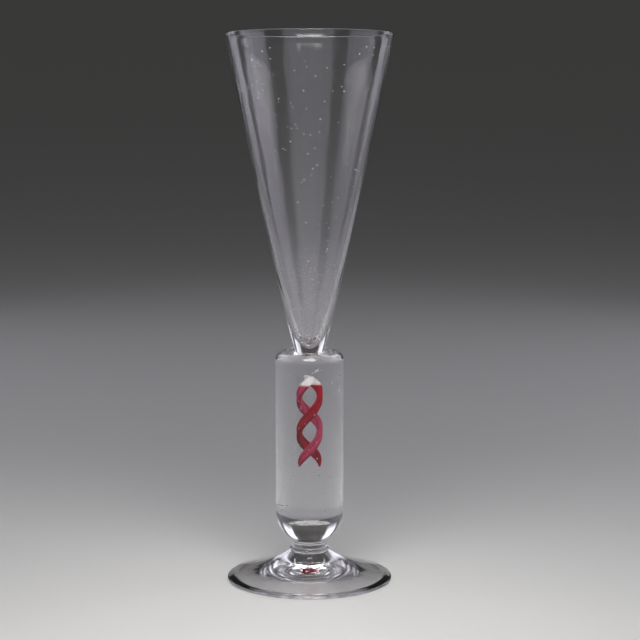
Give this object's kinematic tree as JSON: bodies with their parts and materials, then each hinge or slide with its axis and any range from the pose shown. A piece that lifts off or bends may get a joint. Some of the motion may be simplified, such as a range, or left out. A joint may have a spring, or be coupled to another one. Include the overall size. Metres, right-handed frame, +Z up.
{
  "type": "champagne glass",
  "caption": "Tall clear champagne glass: slim conical bowl on a solid cylindrical stem with a red and white twist sealed inside, a flared collar and a hollow disc foot.",
  "frame": {"origin": "on the table, at the middle of the flat ring that the foot rests on", "axes": "+Z up along the glass's axis towards the rim; the glass is round, and +Y points away from the picture's camera"},
  "size_m": [0.08, 0.08, 0.265],
  "materials": {
    "clear_glass": "clear fire-polished crystal, smooth, slight seeds and striae",
    "ruby_glass": "opaque deep red glass cane",
    "crimson_glass": "opaque crimson glass cane",
    "white_enamel_glass": "opaque white enamel glass",
    "silver_foil": "crinkled silver leaf sealed in glass"
  },
  "bodies": {
    "root": {"foot": "clear_glass", "collar": "clear_glass", "stem_casing": "clear_glass", "stem_core": "clear_glass", "bowl": "clear_glass", "ruby_ribbon": "ruby_glass", "crimson_ribbon": "crimson_glass", "ruby_tip": "white_enamel_glass", "crimson_tip": "white_enamel_glass", "silver_leaf": "silver_foil"}
  },
  "joints": []
}
